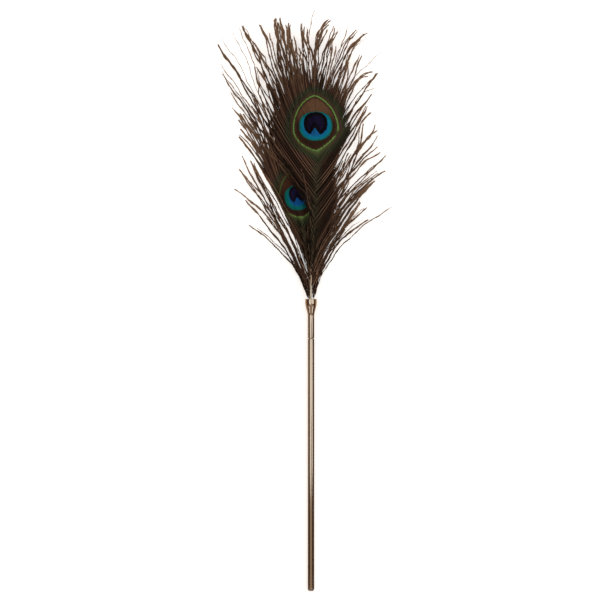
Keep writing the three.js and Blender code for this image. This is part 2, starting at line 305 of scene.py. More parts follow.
def turned(name, outline, material, node):
    bpy.ops.object.select_all(action="DESELECT")
    bpy.ops.mesh.primitive_plane_add(size=1)
    piece = bpy.context.object
    piece.name = name
    points = [Vector((radius * MM, -station * MM, 0)) for radius, station in outline]
    bpy.ops.object.mode_set(mode="EDIT")
    bpy.ops.mesh.select_all(action="SELECT")
    bpy.ops.mesh.merge(type="CENTER")
    bpy.ops.transform.translate(value=points[0])
    for before, after in zip(points, points[1:]):
        bpy.ops.mesh.extrude_region_move(TRANSFORM_OT_translate={"value": after - before})
    bpy.ops.mesh.select_all(action="SELECT")
    bpy.ops.mesh.spin(steps=TURNED_STEPS, angle=2 * math.pi, center=(0, 0, 0), axis=(0, 1, 0))
    bpy.ops.mesh.select_all(action="SELECT")
    bpy.ops.mesh.remove_doubles(threshold=MERGE)
    bpy.ops.mesh.normals_make_consistent(inside=False)
    bpy.ops.object.mode_set(mode="OBJECT")
    places = np.empty(len(piece.data.vertices) * 3)
    piece.data.vertices.foreach_get("co", places)
    places = places.reshape(-1, 3) / MM
    deep = smoothstep(ROD_RADIUS - np.hypot(places[:, 0], places[:, 2]), 0.0, GROOVE_DEPTH)
    groove = piece.data.attributes.new("groove", "FLOAT", "POINT")
    groove.data.foreach_set("value", (deep * (np.abs(-places[:, 1] - SEAM) < SEAM / 2)).astype(np.float32))
    piece.location = Vector((mouth_x, mouth_y, mouth_height)) * MM
    piece.rotation_euler.x = rest_tilt
    bpy.ops.object.transform_apply(location=True, rotation=True, scale=True)
    bpy.ops.object.shade_smooth_by_angle(angle=math.radians(35))
    print(name, len(piece.data.polygons), "faces")
    dress(piece, material, node)


# %% [markdown]
# ## The ferrule
# The ferrule is a sleeve of the rod's own thickness that flares into a round mouth with a straight, thin
# lip. It could be bent from a tube with a modifier, but on a lathe the flare is just a smooth curve in the
# outline. It meets the rod in a fine seam: both edges are rounded over, so the seam shows as a dark line
# with bright shoulders.

# %% Ferrule
FLARE_END = 13.5
EDGE = 0.25
SOCKET_RADIUS = 3.6
SOCKET_FLOOR_RADIUS = 2.9
SOCKET_DEPTH = 7.6
SPIGOT_RADIUS = 1.5
SPIGOT_LENGTH = 8.6
GAP = 0.3
FLARE_POINTS = 24

flare_shares = np.linspace(0, 1, FLARE_POINTS + 1)[1:]
flare = [
    (lerp(LIP_RADIUS, ROD_RADIUS, float(smoothstep(share, 0, 1))), lerp(LIP_LENGTH, FLARE_END, share))
    for share in flare_shares
]
lip_edge = (LIP_RADIUS - SOCKET_RADIUS) / 2 * 0.6
ferrule_outline = [
    (0, SOCKET_DEPTH),
    *rounded(SOCKET_FLOOR_RADIUS - 0.4, SOCKET_DEPTH - 0.4, 0.4, 90, 10),
    (SOCKET_RADIUS, LIP_LENGTH),
    *rounded(SOCKET_RADIUS + lip_edge, lip_edge, lip_edge, 180, 270),
    *rounded(LIP_RADIUS - lip_edge, lip_edge, lip_edge, -90, 0),
    (LIP_RADIUS, LIP_LENGTH),
    *flare,
    *rounded(ROD_RADIUS - EDGE, SEAM - EDGE, EDGE, 0, 90),
    (SPIGOT_RADIUS + GAP, SEAM),
    (SPIGOT_RADIUS + GAP, SEAM - SPIGOT_LENGTH),
    (0, SEAM - SPIGOT_LENGTH),
]
turned("turned_ferrule", ferrule_outline, bronze, "ferrule")

# %% [markdown]
# ## The rod
# The rod is straight drawn bar. Its upper end is turned down to a spigot that goes into the ferrule, and
# its lower end is rounded over and leaves a small flat. A long face shows every dent, so the side is a
# single run of faces.

# %% Rod
END_FACE_RADIUS = 1.6

rod_top = SEAM + GAP
end_arc = [
    (lerp(END_FACE_RADIUS, ROD_RADIUS, math.cos(a)), HANDLE_LENGTH - END_ROUNDING * (1 - math.sin(a)))
    for a in np.linspace(0, math.pi / 2, 10)
]
rod_outline = [
    (0, rod_top - SPIGOT_LENGTH),
    (SPIGOT_RADIUS, rod_top - SPIGOT_LENGTH),
    (SPIGOT_RADIUS, rod_top),
    *rounded(ROD_RADIUS - EDGE, rod_top + EDGE, EDGE, -90, 0),
    *end_arc,
    (0, HANDLE_LENGTH),
]
turned("turned_rod", rod_outline, bronze, "handle_rod")

# %% [markdown]
# ## The glue in the socket
# The quills are set in a plug of dark hot-melt glue. It wets the socket and the quills, so it stands a
# little higher at the wall and in the middle than between them. Set hot-melt glue is a soft plastic with a
# satin gloss.

# %% Glue plug
GLUE_DEPTH = 1.5
GLUE_CLEARANCE = 0.05
GLUE_LUMPS_PER_METRE = 900.0

wall = SOCKET_RADIUS - GLUE_CLEARANCE
meniscus = [
    (wall * share, GLUE_DEPTH + 0.25 - 0.35 * math.cos(2 * math.pi * share) * (0.4 + 0.6 * share))
    for share in np.linspace(0, 1, 12)
]
glue_outline = [*meniscus, (wall, LIP_LENGTH), (SOCKET_FLOOR_RADIUS - GLUE_CLEARANCE, SOCKET_DEPTH - 0.5),
                (0, SOCKET_DEPTH - 0.5)]


def hot_melt_glue():
    material, tree = new_finish("dark_hot_melt_glue")
    place = add(tree, "ShaderNodeTexCoord")
    lumps = add(tree, "ShaderNodeTexNoise", Vector=place.outputs["Object"],
                Scale=GLUE_LUMPS_PER_METRE, Detail=3.0)
    tint = add(tree, "ShaderNodeMix", RGBA, Factor=lumps.outputs["Fac"],
               _6=linear("#1C140E"), _7=linear("#3A2A1D"))
    bump = add(tree, "ShaderNodeBump", Strength=0.4, Distance=0.15 * MM, Height=lumps.outputs["Fac"])
    fill(tree.nodes["Principled BSDF"], Roughness=0.35, Base_Color=tint, Normal=bump)
    return material


turned("set_glue", glue_outline, hot_melt_glue(), "glue_plug")

# %% [markdown]
# ## How the feathers lie
# A cut tail feather lies with its face up. The back feather sinks onto the table a few centimetres from
# the ferrule. The front one lies on it and arches over it, lowest at its edges. Two height functions say
# this, and everything on a feather is put on its height: shafts, barbs and the closed web round the eye.

# %% Heights of the two feathers, in millimetres over the table
QUILL_APART = 1.2
QUILL_ASIDE = 0.4
QUILL_MIDDLE = -0.5


def back_height(x, y):
    middle = lerp(mouth_height - QUILL_APART, 1.0, smoothstep(y, 0, 50))
    return lerp(middle, 0.45, smoothstep(np.abs(x), 0, 40))


def front_height(x, y):
    middle = lerp(2 * QUILL_APART, 8.0, smoothstep(y, 0, 110))
    return back_height(x, y) + lerp(middle, 1.4, smoothstep(np.abs(x), 0, 62))


def front_shaft_x(y):
    return QUILL_MIDDLE + QUILL_ASIDE + 4.9 * smoothstep(y, 0, 120) - 1.8 * smoothstep(y, 120, 155)


def back_shaft_x(y):
    return QUILL_MIDDLE - QUILL_ASIDE - 14.8 * (np.maximum(y, 0) / 104) ** 1.6


print("highest middle of the front feather:", round(float(front_height(0, 110)), 1), "mm")


# %% [markdown]
# ## The shafts
# A feather's shaft is a horny tube at the quill and tapers to a thread at the eye. It is round near the
# ferrule and has a groove further up, which the barbs hide. It is modelled as by hand: a disc is extruded
# station by station along the feather, and each new end is moved to the shaft's curve and made a little
# thinner.

# %% Shaft finish
SHAFT_FADE = 90.0
FIBRES_PER_METRE = (4000.0, 120.0, 4000.0)


def horny_shaft():
    """Keratin: cream and glossy at the quill, browner up the feather, with fine lengthwise fibres."""
    material, tree = new_finish("horny_feather_shaft")
    place = add(tree, "ShaderNodeTexCoord")
    along = add(tree, "ShaderNodeSeparateXYZ", Vector=place.outputs["Object"])
    age = add(tree, "ShaderNodeMapRange", Value=along.outputs["Y"],
              From_Min=mouth_y * MM, From_Max=(mouth_y + SHAFT_FADE) * MM)
    stretch = add(tree, "ShaderNodeMapping", Vector=place.outputs["Object"], Scale=FIBRES_PER_METRE)
    fibre = add(tree, "ShaderNodeTexNoise", Vector=stretch, Scale=1.0, Detail=3.0)
    tint = add(tree, "ShaderNodeValToRGB", Fac=age)
    ramp = tint.color_ramp
    ramp.elements[0].color = linear("#F0E8D8")
    ramp.elements[1].color = linear("#3A2A20")
    ramp.elements.new(0.25).color = linear("#B59E80")
    streak = add(tree, "ShaderNodeMix", RGBA_MULTIPLY, Factor=0.25, _6=tint, _7=fibre.outputs["Color"])
    fill(tree.nodes["Principled BSDF"], Roughness=0.4, IOR=1.54, Base_Color=streak)
    return material


shaft_keratin = horny_shaft()
print("finish:", shaft_keratin.name)

# %% Shafts
QUILL_RADIUS = 0.8
QUILL_DEPTH = 6.2
SHAFT_TIP_RADIUS = 0.3
SHAFT_SUNK = 0.45
SHAFT_STATIONS = 44
SHAFT_SIDES = 16
FRONT_SHAFT_END = 152.0
BACK_SHAFT_END = 104.0


def shaft(name, shaft_x, height, end, node):
    stations = np.linspace(-QUILL_DEPTH, end, SHAFT_STATIONS)
    on_feather = np.maximum(stations, 0)
    xs = shaft_x(on_feather)
    sunk = SHAFT_SUNK * smoothstep(stations / end, 0.6, 0.75)
    path = np.stack([xs + mouth_x, stations + mouth_y, height(xs, on_feather) - sunk], 1) * MM
    radii = lerp(QUILL_RADIUS, SHAFT_TIP_RADIUS, smoothstep(np.linspace(0, 1, SHAFT_STATIONS), 0.2, 1)) * MM
    bpy.ops.object.select_all(action="DESELECT")
    bpy.ops.mesh.primitive_circle_add(
        vertices=SHAFT_SIDES, radius=radii[0], fill_type="NGON",
        location=path[0], rotation=(math.pi / 2, 0, 0),
    )
    piece = bpy.context.object
    piece.name = name
    bpy.ops.object.transform_apply(location=True, rotation=True, scale=True)
    bpy.ops.object.mode_set(mode="EDIT")
    bpy.ops.mesh.select_all(action="SELECT")
    for i in range(1, SHAFT_STATIONS):
        bpy.ops.mesh.extrude_region_move(TRANSFORM_OT_translate={"value": path[i] - path[i - 1]})
        bpy.ops.transform.resize(value=(radii[i] / radii[i - 1],) * 3, center_override=path[i])
    bpy.ops.mesh.select_all(action="SELECT")
    bpy.ops.mesh.normals_make_consistent(inside=False)
    bpy.ops.object.mode_set(mode="OBJECT")
    bpy.ops.object.shade_smooth_by_angle(angle=math.radians(40))
    print(name, len(piece.data.polygons), "faces")
    dress(piece, shaft_keratin, node)


shaft("front_shaft", front_shaft_x, front_height, FRONT_SHAFT_END, "feather_front")
shaft("back_shaft", back_shaft_x, back_height, BACK_SHAFT_END, "feather_back")

# %% [markdown]
# ## The barbs
# A vane is a row of barbs on each side of the shaft. On a peacock's tail feather the barbs hook together
# only round the eye, where they make a closed web. Everywhere else they are loose: long threads with short
# flat barbules that catch on their neighbours, so they hang together in tresses whose tips meet.
#
# Hair curves or particles would be quick, but they aren't meshes. So the barbs are made as joined meshes
# from arrays: each is a thin blade with a four-cornered section, swept along a curve from the shaft to its
# tip. A tress is given by its roots on the shaft, its tip, and the angles at both ends, and its barbs are
# spread between them.

# %% Tresses of the front feather
# [first root, last root, tip x, tip y, leaving angle, arriving angle, rise of tip, barbs, spread, paleness]
# Roots are stations on the shaft and angles are from +Y, outwards from the shaft.

FRONT_LEFT = [
    [-1, 2, -48.5, 110.6, 4, 24, 0, 2, 0.6, 0.1],
    [-1, 3, -57, 103, 9, 40, 0, 2, 0.8, 0.2],
    [0, 2.5, -51, 60, 18, 56, 0, 4, 0.5, 0.4],
    [1, 3, -44.5, 57, 18, 58, 0, 1, 0.5, 0.6],
    [1, 4, -60.7, 87, 19, 57, 1, 5, 0.6, 0.5],
    [2.5, 6, -52, 79, 24, 44, 0, 6, 1.2, 0.4],
    [4, 8, -57, 103, 24, 40, 0, 6, 0.8, 0.3],
    [7, 10, -55, 115, 25, 24, 1, 5, 0.7, 0.5],
    [10.5, 13, -48.5, 110.6, 20, 24, 0, 10, 0.45, 0.1],
    [14, 16, -39.6, 102.9, 7, 31, 0, 2, 0.4, 0.4],
    [15, 17, -36.7, 99.5, 6, 31, 0, 2, 0.3, 0.3],
    [22, 32, -1.4, 60, 16, 3, -1, 8, 1.3, 0],
    [32, 42, -0.6, 70, 18, 3, -1, 9, 1.2, 0],
    [42, 51, -0.8, 82, 22, 8, -1, 9, 1.2, 0],
    [51, 60, -3.5, 95, 26, 16, -1, 9, 1.2, 0],
    [60, 69, -11, 112, 32, 25, -1, 10, 1.2, 0],
    [64, 65, -60.7, 149.5, 36, 40, 0, 4, 0.6, 0.2],
    [66, 68, -62.7, 151.8, 36, 36, 0, 4, 0.6, 0.5],
    [69, 71, -64.8, 165, 38, 36, 0, 3, 0.6, 0.5],
    [73, 76, -71.8, 180.5, 39, 32, 1, 4, 0.6, 0.1],
    [75, 77, -71, 186, 39, 30, 1, 2, 1.5, 0.9],
    [78, 89, -73.3, 201, 40, 34, 3, 10, 0.8, 0.1],
    [84, 90, -71, 206.2, 40, 33, 3, 1, 0.5, 0.9],
    [88, 93, -62.4, 211.7, 41, 31, 4, 1, 0.5, 0.9],
    [90, 96, -56.9, 215.7, 41, 29, 4, 1, 0.5, 0.9],
    [89, 97, -44.6, 184, 42, 15, 3, 8, 1.6, 0.3],
    [95, 100, -43.6, 183, 42, 38, 3, 6, 1.2, 0.2],
    [99, 106, -54.2, 215.8, 42, 28, 5, 12, 0.9, 0],
    [105, 111, -45.6, 204, 42, 32, 4, 11, 1, 0.1],
    [110, 116, -41.6, 218.8, 41, 21, 5, 9, 0.9, 0.4],
    [114, 118, -33.5, 211.7, 40, 12, 5, 4, 1, 0.8],
    [115, 130, -27.5, 222, 38, 11, 6, 50, 2.6, 0.1],
    [128, 135, -18.5, 217, 32, 5, 6, 24, 2, 0.2],
    [134, 139, -13.5, 207.8, 29, 8, 5, 17, 2.3, 0.3],
    [137, 142, -12.3, 198, 26, 24, 5, 12, 1.7, 0.1],
    [141, 145, -7.6, 216.5, 20, 0, 5, 9, 0.6, 0],
    [144, 148, -4.8, 213.8, 14, -2, 5, 6, 0.9, 0.3],
    [147, 151, -1.3, 214, 8, -8, 5, 8, 1, 0.2],
    [147, 149, 2.4, 225.6, 8, -30, 6, 1, 0.1, 0.6],
]
FRONT_RIGHT = [
    [-1, 2, 41.2, 81.4, 5, 35, 0, 2, 1, 0.2],
    [-1, 3, 50.6, 93, 9, 50, 1, 2, 0.8, 0.2],
    [0, 2, 64.5, 73, 16, 54, 1, 2, 0.4, 0.5],
    [1, 3, 44.5, 64, 16, 58, 1, 1, 0.5, 0.5],
    [1.5, 6, 47, 63.5, 16, 64, 0, 6, 0.8, 0.3],
    [5, 11, 45.1, 73, 17, 52, 1, 10, 0.9, 0.4],
    [9, 19, 41.2, 81.4, 18, 35, 0, 20, 2.4, 0.3],
    [12, 24, 52, 98, 17, 44, 1, 21, 2, 0.1],
    [18, 26, 50.6, 93, 21, 50, 2, 11, 1.2, 0.2],
    [25, 36, 59.7, 102.2, 23, 62, 2, 10, 1.1, 0.1],
    [27, 31, 55.3, 103.6, 24, 58, 2, 2, 0.9, 0.8],
    [35, 44, 59, 113.2, 26, 45, 1, 6, 0.7, 0.1],
    [38, 54, 41.5, 139.8, 24, 14, 2, 10, 1.8, 0],
    [44, 51, 55.7, 116.4, 29, 52, 1, 5, 0.9, 0.6],
    [50, 57, 54.3, 121.9, 31, 42, 1, 5, 0.7, 0.2],
    [57, 64, 53.2, 130.4, 34, 35, 1, 5, 0.8, 0],
    [62, 70, 52.8, 132.9, 35, 58, 1, 5, 1, 0.7],
    [69, 76, 50.6, 137.6, 37, 25, 2, 6, 0.7, 0.3],
    [75, 86, 47.7, 147.9, 38, 48, 2, 7, 0.9, 0.3],
    [84, 96, 45, 155, 40, 27, 3, 13, 1.6, 0],
    [95, 101, 51.5, 166, 41, 44, 3, 7, 0.8, 0.2],
    [99, 103, 52, 166.7, 41, 80, 3, 1, 0.5, 0.6],
    [100, 106, 52.9, 179.1, 41, 38, 3, 9, 0.9, 0.1],
    [105, 109, 47.1, 176, 40, 82, 4, 4, 0.7, 0.4],
    [108, 112, 50.4, 178.8, 39, 88, 5, 6, 0.8, 0.2],
    [110, 116, 56.2, 186.5, 39, 62, 5, 3, 2.6, 0.9],
    [114, 118, 55.6, 194.8, 38, 56, 5, 1, 0.5, 1],
    [113, 121, 40.1, 194.8, 36, 20, 4, 10, 1.1, 0.4],
    [120, 127, 29.5, 193.5, 33, 8, 4, 12, 1.6, 0.3],
    [125, 129, 40.5, 206.3, 31, 38, 5, 7, 0.9, 0.2],
    [127, 130, 43, 206, 30, 44, 5, 1, 0.5, 1],
    [128, 133, 45.3, 210.8, 28, 52, 5, 9, 0.8, 0],
    [132, 137, 36.8, 212.4, 25, 40, 5, 8, 0.8, 0.2],
    [134, 137, 29, 217, 24, 20, 6, 2, 1.6, 1],
    [136, 139, 19.3, 201, 22, 3, 5, 5, 1.4, 0.7],
    [137, 141, 17, 205, 20, 5, 6, 7, 1.2, 0.3],
    [140, 143, 21, 211, 19, 36, 6, 6, 0.8, 0.1],
    [142, 146, 18.5, 215, 16, 12, 5, 7, 0.9, 0.1],
    [145, 148, 14, 214, 10, 22, 6, 5, 0.8, 0.2],
    [147, 151, 17.2, 219.5, 8, 50, 6, 12, 1, 0],
    [149, 152, 14.5, 221, 4, 46, 6, 10, 1, 0],
]

# %% Tresses of the back feather
BACK_LEFT = [
    [0, 4, -38, 66, 19, 44, 0, 3, 0.8, 0.4],
    [4, 8, -43, 84, 24, 36, 0, 4, 0.9, 0.3],
    [7, 12, -46, 108, 24, 23, 0, 6, 0.8, 0.2],
    [22, 29, -58.5, 130.5, 16, 40, 0, 3, 0.6, 0.2],
    [29, 35, -59, 131, 22, 40, 0, 10, 1, 0.3],
    [34, 41, -57, 137, 24, 40, 0, 10, 1.6, 0.2],
    [40, 49, -57.5, 143, 26, 38, 0, 12, 2, 0.2],
    [48, 58, -56, 149, 28, 36, 0, 12, 2.6, 0.1],
    [57, 67, -51, 155, 32, 31, 0, 16, 3, 0.1],
    [66, 76, -45.5, 163, 35, 27, 0, 16, 3, 0.1],
    [75, 85, -40, 168, 36, 24, 0, 16, 3, 0.1],
    [84, 93, -33, 174, 35, 18, 0, 15, 3, 0.1],
    [92, 99, -26, 179, 28, 14, 0, 12, 3, 0.1],
    [98, 104, -17.5, 183, 14, 6, 0, 11, 3, 0.1],
]
BACK_RIGHT = [
    [0, 8, 27, 56, 15, 40, 0, 8, 1.6, 0.1],
    [8, 17, 29, 74, 17, 34, 0, 10, 2, 0.1],
    [16, 26, 31, 90, 20, 30, 0, 12, 2, 0.1],
    [25, 37, 33, 103, 24, 28, 0, 13, 2.4, 0.1],
    [36, 49, 30, 116, 28, 24, 0, 14, 2.6, 0.1],
    [48, 60, 26, 129, 33, 20, 0, 15, 3, 0.1],
    [59, 71, 21, 143, 35, 17, 0, 19, 3, 0.1],
    [70, 81, 13, 155, 36, 12, 0, 18, 3, 0.1],
    [80, 90, 3, 166, 34, 8, 0, 16, 3, 0.1],
    [89, 98, -5, 174, 28, 4, 0, 15, 3, 0.1],
    [97, 104, -13, 182, 14, 0, 0, 13, 3, 0.1],
]
for name, rows in (("front", FRONT_LEFT + FRONT_RIGHT), ("back", BACK_LEFT + BACK_RIGHT)):
    print(name, "feather:", sum(row[7] for row in rows), "barbs in", len(rows), "tresses")

# %% [markdown]
# ## The eye
# The eye is only colour: every barb changes its colour where it crosses the pattern. So the pattern is
# worked out in the plane of the feather, in millimetres about the middle of the blue ring, with v towards
# the tip. The fields that describe it are kept as attributes on each barb's points, for the finish to
# read: oval is 1 on the thin green line, ring is the distance outside the blue ring, heart the distance
# outside the dark heart, height is v, line is how strong the green line is, and glow is the green that
# spreads from it below the eye. Each barb's pattern is shifted by up to a quarter of a millimetre, because
# barbs never line up exactly, and that gives the ring its feathery edge.

# %% The eyes' dimensions and fields
EYES = {
    "front": {
        "centre": (3.7, 136.2), "lean": 2.4,
        "oval": (17.3, 25.7, 16.9), "low_left": (1.5, 2.0), "low_right": (1.2, 1.7),
        "broad": 0.6, "glow": 3.2,
        "ring": (13.0, 11.5), "heart": (9.2, 9.1), "heart_up": 1.9, "notch": -1.0,
        "line_gap": 0.8, "gap_side": 1, "gap_at": -6.0, "gap_size": 2.0, "line_above": 1.0,
    },
    "back": {
        "centre": (-10.3, 80.4), "lean": 12.0,
        "oval": (14.4, 23.0, 13.8), "low_left": (1.3, 2.0), "low_right": (1.3, 2.0),
        "broad": 0.6, "glow": 2.6,
        "ring": (10.4, 10.1), "heart": (6.4, 6.8), "heart_up": 2.7, "notch": 0.6,
        "line_gap": 0.95, "gap_side": -1, "gap_at": -2.5, "gap_size": 8.0, "line_above": 0.4,
    },
}
OVAL_MIDDLE = -2.0
UPPER_POWERS = (1.6, 1.45)
BROAD_ZONE = (0.5, 1.15)
BROAD_WIDTH = 9.0
SQUARISH_POWERS = (2.4, 2.1)
NOTCH_SLOPE = 1.55
NOTCH_ASIDE = -0.8
GAP_EDGE = 0.4
GLOW_ZONE = (0.45, 0.95)
GLOW_ASIDE = -1.5
GLOW_WIDTH = 11.0


def squarish(u, v, size):
    """Distance outside an oval whose upper half is squarer than its lower half."""
    power = np.where(v > 0, *SQUARISH_POWERS)
    reach = (np.abs(u / size[0]) ** power + np.abs(v / size[1]) ** power) ** (1 / power)
    return (reach - 1) * size[1]


def eye_fields(eye, x, y, shift):
    lean = math.radians(eye["lean"])
    dx = x - eye["centre"][0]
    dy = y - eye["centre"][1] + shift
    u = dx * math.cos(lean) + dy * math.sin(lean)
    v = -dx * math.sin(lean) + dy * math.cos(lean)
    half_width, above, below = eye["oval"]
    out = np.abs(u) / half_width
    upper = out ** np.where(u < 0, *UPPER_POWERS) + (np.maximum(v - OVAL_MIDDLE, 0) / above) ** 2
    down = np.maximum(OVAL_MIDDLE - v, 0) / below
    (left_out, left_down), (right_out, right_down) = eye["low_left"], eye["low_right"]
    lower = np.where(u < 0, out**left_out + down**left_down, out**right_out + down**right_down)
    oval = np.where(v > OVAL_MIDDLE, upper, lower)
    lowest = smoothstep(-v / below, *BROAD_ZONE) * np.exp(-((u / BROAD_WIDTH) ** 2))
    broadened = lerp(1, eye["broad"], lowest)
    oval = np.where(oval > 1, 1 + (oval - 1) * broadened, oval)
    ring = squarish(u, v, eye["ring"])
    heart = squarish(u, v - eye["heart_up"], eye["heart"])
    notch = (eye["notch"] - NOTCH_SLOPE * np.abs(u - NOTCH_ASIDE) - v) / math.hypot(1, NOTCH_SLOPE)
    in_gap = smoothstep(-np.abs(v - eye["gap_at"]), -eye["gap_size"], GAP_EDGE - eye["gap_size"])
    line = 1 - eye["line_gap"] * in_gap
    line = np.where(u * eye["gap_side"] > 0, line, 1.0) * lerp(1.0, eye["line_above"], smoothstep(v, 0, 4))
    low = smoothstep(-v / below, *GLOW_ZONE) * np.exp(-(((u - GLOW_ASIDE) / GLOW_WIDTH) ** 2))
    glow = low * np.exp(-np.maximum(oval - 1, 0) * below / eye["glow"]) * (oval > 1)
    return oval, ring, np.maximum(heart, notch), v, line, glow


# %% How loose the barbs are at a place: 0 in the closed web, 1 where they are free
WEB = {
    "front": {
        "x": 0.0, "y": 133.0, "above": 44.0, "shaft": front_shaft_x,
        "left": ([5, 60, 100, 133], [2.5, 14, 26, 33]),
        "right": ([5, 40, 78, 106, 133], [3, 11.5, 15, 16, 27]),
        "crown": 152.0, "crown_tip": (2.8, 214.0, 0.0, 0.0), "from": {-1: 76.0, 1: 30.0},
    },
    "back": {
        "x": -12.0, "y": 82.0, "above": 60.0, "shaft": back_shaft_x,
        "left": ([5, 40, 82], [2.5, 12, 30]), "right": ([5, 40, 82], [2.5, 14, 28]),
        "crown": 104.0, "crown_tip": (-15.0, 184.0, -0.12, 0.0), "from": {-1: 27.0, 1: 12.0},
    },
}


def looseness(web, x, y, closed=0.8, free=1.25):
    middle = np.where(y < web["y"], web["shaft"](y), web["x"])
    width = np.where(x < middle, np.interp(y, *web["left"]), np.interp(y, *web["right"]))
    up = np.maximum(y - web["y"], 0) / web["above"]
    reach = np.hypot((x - middle) / width, up)
    return smoothstep(reach, closed, free)


# %% [markdown]
# ## From tresses to barbs
# Each row of the tables is spread into single barbs, and the barbs fall into strands of a few that stay
# side by side. In the web the barbs fan out evenly. At its edge they catch on each other in strands, which
# keep to the fan for a while and meet in tresses at their tips. So a barb's path is a blend of three
# curves: its place in the even fan, its strand's middle, and its tress.
#
# The random draws come from one seeded generator for each side of a vane, so every run grows the same
# feather.

# %% How barbs are spread and bundled
ROOT_JITTER = 0.15
STRAND_BARBS = (3, 8)
STRAND_ASIDE = 0.3
STRAND_SHORT = (1.2, 1.5)
FRAYED_TIPS = 0.7
LEAVE_VARIES = 0.8
ARRIVE_VARIES = 3.0
EVEN_OVER = 9
EVEN_BY = 1.0
FAN_REACH = 6.0
LEAVING_HANDLE = 0.38
ARRIVING_HANDLE = 0.35


def spread_barbs(rows, shaft_x, side, draw):
    """Roots, tips, end directions, rise, paleness and strand of every barb on one side, in order of root."""
    barbs = []
    strands = 0
    for first, last, tip_x, tip_y, leave, arrive, rise, count, spread, pale in rows:
        order = (np.arange(count) + 0.5) / count
        root = lerp(first, last, order) + draw.uniform(-ROOT_JITTER, ROOT_JITTER, count)
        strand_ends = np.cumsum(draw.integers(*STRAND_BARBS, count))
        strand = np.searchsorted(strand_ends, np.arange(count), side="right")
        many = strand.max() + 1
        place = np.bincount(strand, order) / np.bincount(strand) - 0.5
        across = place * 2 * spread + draw.normal(0, STRAND_ASIDE * spread, many)
        short = draw.gamma(STRAND_SHORT[0], STRAND_SHORT[1] * spread, many)
        out = side * np.radians(arrive + draw.normal(0, ARRIVE_VARIES, many))
        end_x = tip_x - short * np.sin(out) - side * across * np.cos(out)
        end_y = tip_y - short * np.cos(out) + side * across * np.sin(out)
        frayed = draw.normal(0, FRAYED_TIPS, count)
        end_x = end_x[strand] + frayed * np.sin(out[strand])
        end_y = end_y[strand] + frayed * np.cos(out[strand])
        lean = np.arctan(shaft_x(root + 0.5) - shaft_x(root - 0.5))
        begin = lean + side * np.radians(leave + draw.normal(0, LEAVE_VARIES, count))
        alike = [np.full(count, rise), np.full(count, pale), strand + strands]
        barbs.append(np.stack([root, end_x, end_y, begin, out[strand], *alike], 1))
        strands += many
    barbs = np.concatenate(barbs)
    barbs = barbs[np.argsort(barbs[:, 0])]
    half = EVEN_OVER // 2
    padded = np.pad(barbs[:, 0], half, mode="reflect", reflect_type="odd")
    even = np.convolve(padded, np.ones(EVEN_OVER) / EVEN_OVER, "valid")
    barbs[:, 0] = np.clip(even, barbs[:, 0] - EVEN_BY, barbs[:, 0] + EVEN_BY)
    return barbs[:, :7], barbs[:, 7].astype(int)


def of_strand(strand, values):
    """Each barb's values replaced by the mean of its strand."""
    total = np.zeros((strand.max() + 1, values.shape[1]))
    np.add.at(total, strand, values)
    return (total / np.bincount(strand)[:, None])[strand]


def place_in_strand(strand):
    """Each barb's place in its strand, counted from the strand's middle."""
    from_middle = np.zeros((len(strand), 1))
    for one in range(strand.max() + 1):
        members = np.flatnonzero(strand == one)
        from_middle[members, 0] = np.arange(len(members)) - (len(members) - 1) / 2
    return from_middle


def fanned(root, values):
    """`values` smoothed along the shaft by a local straight line, as barbs lie where the web is closed."""
    apart = root[None, :] - root[:, None]
    weight = np.exp(-0.5 * (apart / FAN_REACH) ** 2)
    w0, w1, w2 = weight.sum(1), (weight * apart).sum(1), (weight * apart**2).sum(1)
    v0, v1 = weight @ values, (weight * apart) @ values
    return (w2[:, None] * v0 - w1[:, None] * v1) / (w0 * w2 - w1**2)[:, None]


def curve(start_x, start_y, end_x, end_y, begin, out, share):
    """Points of a barb: a cubic curve from its root to its tip, leaving and arriving at the given angles."""
    reach = np.hypot(end_x - start_x, end_y - start_y)
    weights = [(1 - share) ** 3, 3 * (1 - share) ** 2 * share, 3 * (1 - share) * share**2, share**3]
    leaving, arriving = LEAVING_HANDLE * reach, ARRIVING_HANDLE * reach
    xs = [start_x, start_x + leaving * np.sin(begin), end_x - arriving * np.sin(out), end_x]
    ys = [start_y, start_y + leaving * np.cos(begin), end_y - arriving * np.cos(out), end_y]
    return sum(w * x for w, x in zip(weights, xs)), sum(w * y for w, y in zip(weights, ys))


# %% Paths of the barbs
# Ranges are in millimetres up the shaft, shares of a barb, or reach from the web's middle, where 1 is its
# edge.
RINGS = 84
NECK = (0.5, 2.6)
NECK_STATIONS = (6, 24)
ROOT_OVERLAP = 0.45
JOINS_TRESS = (0.08, 0.35)
CROWN_FROM = 14
CROWN_REACH = 9.0
CROWN_FAN = 4.5
EDGE_VARIES = 0.18
CAUGHT = (0.85, 1.15)
GATHERED = (0.9, 2.6)
GATHERS_AT_TIP = (0.6, 0.97)
HOOKS_WITHIN = 4


